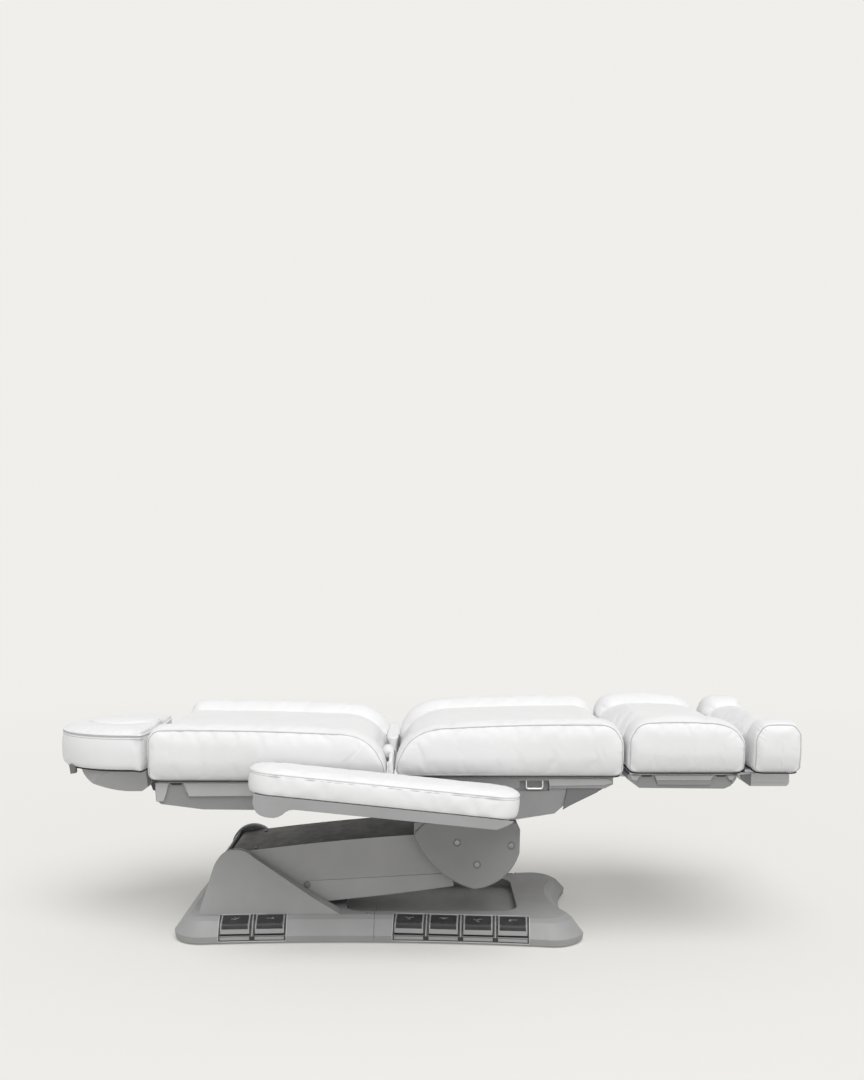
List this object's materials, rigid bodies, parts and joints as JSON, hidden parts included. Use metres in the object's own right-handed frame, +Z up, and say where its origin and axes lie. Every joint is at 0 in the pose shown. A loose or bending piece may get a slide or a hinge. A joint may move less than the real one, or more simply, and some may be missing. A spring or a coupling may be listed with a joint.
{
  "type": "treatment chair",
  "caption": "Low treatment chair lying flat: lifting arm on a waisted base, tilting seat, folding back and leg rests, headrest, armrests, foot pedals.",
  "frame": {"origin": "on the floor, under the middle of the object's box in X and Y", "axes": "+X to the foot end, -X to the head end, +Y to the left side of a person lying on it, +Z up"},
  "size_m": [1.93, 0.86, 0.5832],
  "materials": {
    "cover_plastic": "satin",
    "arm_plastic": "satin",
    "shell_plastic": "satin",
    "vinyl": "satin",
    "frame_paint": "satin",
    "frame_alloy": "satin",
    "steel": "satin",
    "chrome": "polished",
    "foot_rubber": "matte",
    "pedal_plastic": "satin",
    "motor_plastic": "satin",
    "cover_screw_steel": "satin"
  },
  "bodies": {
    "base": {"floor_plate": "frame_paint", "base_cover_rear": "cover_plastic", "base_cover_front": "cover_plastic", "levelling_feet": "foot_rubber", "cover_screws": "cover_screw_steel", "pivot_tower": "frame_paint", "lower_pins": "steel", "hump_cheek_right": "cover_plastic", "hump_cheek_left": "cover_plastic", "hump_rear_cover": "cover_plastic"},
    "lift_arm": {"arm_beam": "frame_paint", "arm_cover_upper": "arm_plastic", "arm_cover_lower": "arm_plastic", "arm_screws": "cover_screw_steel"},
    "bars": {"parallel_bars": "frame_paint"},
    "lift_motor": {"lift_motor": "motor_plastic"},
    "lift_rod": {"lift_rod": "steel"},
    "carriage": {"carriage_frame": "frame_paint", "upper_pins": "steel", "bracket_cover_right": "arm_plastic", "bracket_cover_left": "arm_plastic", "bracket_screws": "cover_screw_steel"},
    "seat": {"seat_frame": "frame_alloy", "hinge_pins": "steel", "seat_shell": "shell_plastic", "accessory_loops": "chrome", "seat_cushion": "vinyl"},
    "back": {"back_frame": "frame_alloy", "back_shell": "shell_plastic", "back_cushion": "vinyl"},
    "head_bars": {"head_bars": "steel"},
    "head": {"head_frame": "frame_alloy", "head_shell": "shell_plastic", "head_cushion": "vinyl"},
    "face_insert": {"face_insert": "vinyl"},
    "leg": {"leg_frame": "frame_alloy", "leg_shell": "shell_plastic", "leg_cushion": "vinyl"},
    "foot": {"foot_frame": "frame_alloy", "foot_shell": "shell_plastic", "foot_cushion": "vinyl"},
    "armrest_bracket_right": {"armrest_bracket_right": "steel"},
    "armrest_bracket_left": {"armrest_bracket_left": "steel"},
    "armrest_right": {"armrest_shell_right": "shell_plastic", "armrest_pad_right": "vinyl"},
    "armrest_left": {"armrest_shell_left": "shell_plastic", "armrest_pad_left": "vinyl"},
    "pedal_rear_right_1": {"pedal_rear_right_1": "pedal_plastic"},
    "pedal_rear_right_2": {"pedal_rear_right_2": "pedal_plastic"},
    "pedal_rear_left_1": {"pedal_rear_left_1": "pedal_plastic"},
    "pedal_rear_left_2": {"pedal_rear_left_2": "pedal_plastic"},
    "pedal_front_right_1": {"pedal_front_right_1": "pedal_plastic"},
    "pedal_front_right_2": {"pedal_front_right_2": "pedal_plastic"},
    "pedal_front_right_3": {"pedal_front_right_3": "pedal_plastic"},
    "pedal_front_right_4": {"pedal_front_right_4": "pedal_plastic"},
    "pedal_front_left_1": {"pedal_front_left_1": "pedal_plastic"},
    "pedal_front_left_2": {"pedal_front_left_2": "pedal_plastic"},
    "pedal_front_left_3": {"pedal_front_left_3": "pedal_plastic"},
    "pedal_front_left_4": {"pedal_front_left_4": "pedal_plastic"}
  },
  "joints": [
    {"name": "lift", "type": "hinge", "parent": "base", "child": "lift_arm", "pos_m": [-0.462, 0, 0.16], "axis": [0, -1, 0], "range_deg": [0, 28]},
    {"name": "bars_turn", "type": "hinge", "parent": "base", "child": "bars", "pos_m": [-0.432, 0, 0.104], "axis": [0, -1, 0], "range_deg": [0, 28]},
    {"name": "carriage_level", "type": "hinge", "parent": "lift_arm", "child": "carriage", "pos_m": [0.14, 0, 0.205], "axis": [0, -1, 0], "range_deg": [-28, 0]},
    {"name": "lift_motor_swing", "type": "hinge", "parent": "lift_arm", "child": "lift_motor", "pos_m": [-0.03096, 0, 0.16214], "axis": [0, -1, 0], "range_deg": [-3, 0]},
    {"name": "lift_rod_slide", "type": "slide", "parent": "lift_motor", "child": "lift_rod", "axis": [-0.9844, 0, -0.1762], "range_m": [0, 0.04]},
    {"name": "seat_tilt", "type": "hinge", "parent": "carriage", "child": "seat", "pos_m": [0.045, 0, 0.277], "axis": [0, -1, 0], "range_deg": [0, 12]},
    {"name": "back_recline", "type": "hinge", "parent": "seat", "child": "back", "pos_m": [-0.066, 0, 0.4803], "axis": [0, 1, 0], "range_deg": [0, 75]},
    {"name": "leg_lower", "type": "hinge", "parent": "seat", "child": "leg", "pos_m": [0.518, 0, 0.4253], "axis": [0, 1, 0], "range_deg": [0, 75]},
    {"name": "foot_extend", "type": "slide", "parent": "leg", "child": "foot", "axis": [1, 0, 0], "range_m": [0, 0.15]},
    {"name": "head_extend", "type": "slide", "parent": "back", "child": "head_bars", "axis": [-1, 0, 0], "range_m": [0, 0.08]},
    {"name": "head_tilt", "type": "hinge", "parent": "head_bars", "child": "head", "pos_m": [-0.684, 0, 0.4013], "axis": [0, 1, 0], "range_deg": [-30, 12]},
    {"name": "insert_lift", "type": "slide", "parent": "head", "child": "face_insert", "axis": [0, 0, 1], "range_m": [0, 0.06]},
    {"name": "armrest_level_right", "type": "hinge", "parent": "back", "child": "armrest_bracket_right", "pos_m": [-0.334, 0, 0.4023], "axis": [0, 1, 0], "range_deg": [-75, 0]},
    {"name": "armrest_swing_right", "type": "hinge", "parent": "armrest_bracket_right", "child": "armrest_right", "pos_m": [-0.334, 0, 0.4023], "axis": [0, -1, 0], "range_deg": [0, 90]},
    {"name": "armrest_level_left", "type": "hinge", "parent": "back", "child": "armrest_bracket_left", "pos_m": [-0.334, 0, 0.4023], "axis": [0, 1, 0], "range_deg": [-75, 0]},
    {"name": "armrest_swing_left", "type": "hinge", "parent": "armrest_bracket_left", "child": "armrest_left", "pos_m": [-0.334, 0, 0.4023], "axis": [0, -1, 0], "range_deg": [0, 90]},
    {"name": "pedal_rear_right_1_press", "type": "hinge", "parent": "base", "child": "pedal_rear_right_1", "pos_m": [-0.45617, -0.18523, 0.038], "axis": [0.9984, 0.0559, 0], "range_deg": [0, 6], "stiffness_Nm_per_rad": 0.6, "springref_deg": -8.59},
    {"name": "pedal_rear_left_1_press", "type": "hinge", "parent": "base", "child": "pedal_rear_left_1", "pos_m": [-0.45617, 0.18523, 0.038], "axis": [-0.9984, 0.0559, 0], "range_deg": [0, 6], "stiffness_Nm_per_rad": 0.6, "springref_deg": -8.59},
    {"name": "pedal_rear_right_2_press", "type": "hinge", "parent": "base", "child": "pedal_rear_right_2", "pos_m": [-0.3683, -0.18032, 0.038], "axis": [0.9984, 0.0559, 0], "range_deg": [0, 6], "stiffness_Nm_per_rad": 0.6, "springref_deg": -8.59},
    {"name": "pedal_rear_left_2_press", "type": "hinge", "parent": "base", "child": "pedal_rear_left_2", "pos_m": [-0.3683, 0.18032, 0.038], "axis": [-0.9984, 0.0559, 0], "range_deg": [0, 6], "stiffness_Nm_per_rad": 0.6, "springref_deg": -8.59},
    {"name": "pedal_front_right_1_press", "type": "hinge", "parent": "base", "child": "pedal_front_right_1", "pos_m": [-0.00965, -0.17793, 0.038], "axis": [0.9972, -0.0746, 0], "range_deg": [0, 6], "stiffness_Nm_per_rad": 0.6, "springref_deg": -8.59},
    {"name": "pedal_front_left_1_press", "type": "hinge", "parent": "base", "child": "pedal_front_left_1", "pos_m": [-0.00965, 0.17793, 0.038], "axis": [-0.9972, -0.0746, 0], "range_deg": [0, 6], "stiffness_Nm_per_rad": 0.6, "springref_deg": -8.59},
    {"name": "pedal_front_right_2_press", "type": "hinge", "parent": "base", "child": "pedal_front_right_2", "pos_m": [0.0781, -0.18449, 0.038], "axis": [0.9972, -0.0746, 0], "range_deg": [0, 6], "stiffness_Nm_per_rad": 0.6, "springref_deg": -8.59},
    {"name": "pedal_front_left_2_press", "type": "hinge", "parent": "base", "child": "pedal_front_left_2", "pos_m": [0.0781, 0.18449, 0.038], "axis": [-0.9972, -0.0746, 0], "range_deg": [0, 6], "stiffness_Nm_per_rad": 0.6, "springref_deg": -8.59},
    {"name": "pedal_front_right_3_press", "type": "hinge", "parent": "base", "child": "pedal_front_right_3", "pos_m": [0.16586, -0.19105, 0.038], "axis": [0.9972, -0.0746, 0], "range_deg": [0, 6], "stiffness_Nm_per_rad": 0.6, "springref_deg": -8.59},
    {"name": "pedal_front_left_3_press", "type": "hinge", "parent": "base", "child": "pedal_front_left_3", "pos_m": [0.16586, 0.19105, 0.038], "axis": [-0.9972, -0.0746, 0], "range_deg": [0, 6], "stiffness_Nm_per_rad": 0.6, "springref_deg": -8.59},
    {"name": "pedal_front_right_4_press", "type": "hinge", "parent": "base", "child": "pedal_front_right_4", "pos_m": [0.25361, -0.19762, 0.038], "axis": [0.9972, -0.0746, 0], "range_deg": [0, 6], "stiffness_Nm_per_rad": 0.6, "springref_deg": -8.59},
    {"name": "pedal_front_left_4_press", "type": "hinge", "parent": "base", "child": "pedal_front_left_4", "pos_m": [0.25361, 0.19762, 0.038], "axis": [-0.9972, -0.0746, 0], "range_deg": [0, 6], "stiffness_Nm_per_rad": 0.6, "springref_deg": -8.59}
  ],
  "couplings": [
    {"joint": "bars_turn", "follows": "lift", "ratio": 1},
    {"joint": "carriage_level", "follows": "lift", "ratio": -1},
    {"joint": "lift_motor_swing", "follows": "lift", "ratio": -0.06447},
    {"joint": "lift_rod_slide", "follows": "lift", "m_per_rad": 0.068238},
    {"joint": "armrest_level_right", "follows": "back_recline", "ratio": -1},
    {"joint": "armrest_level_left", "follows": "back_recline", "ratio": -1}
  ]
}
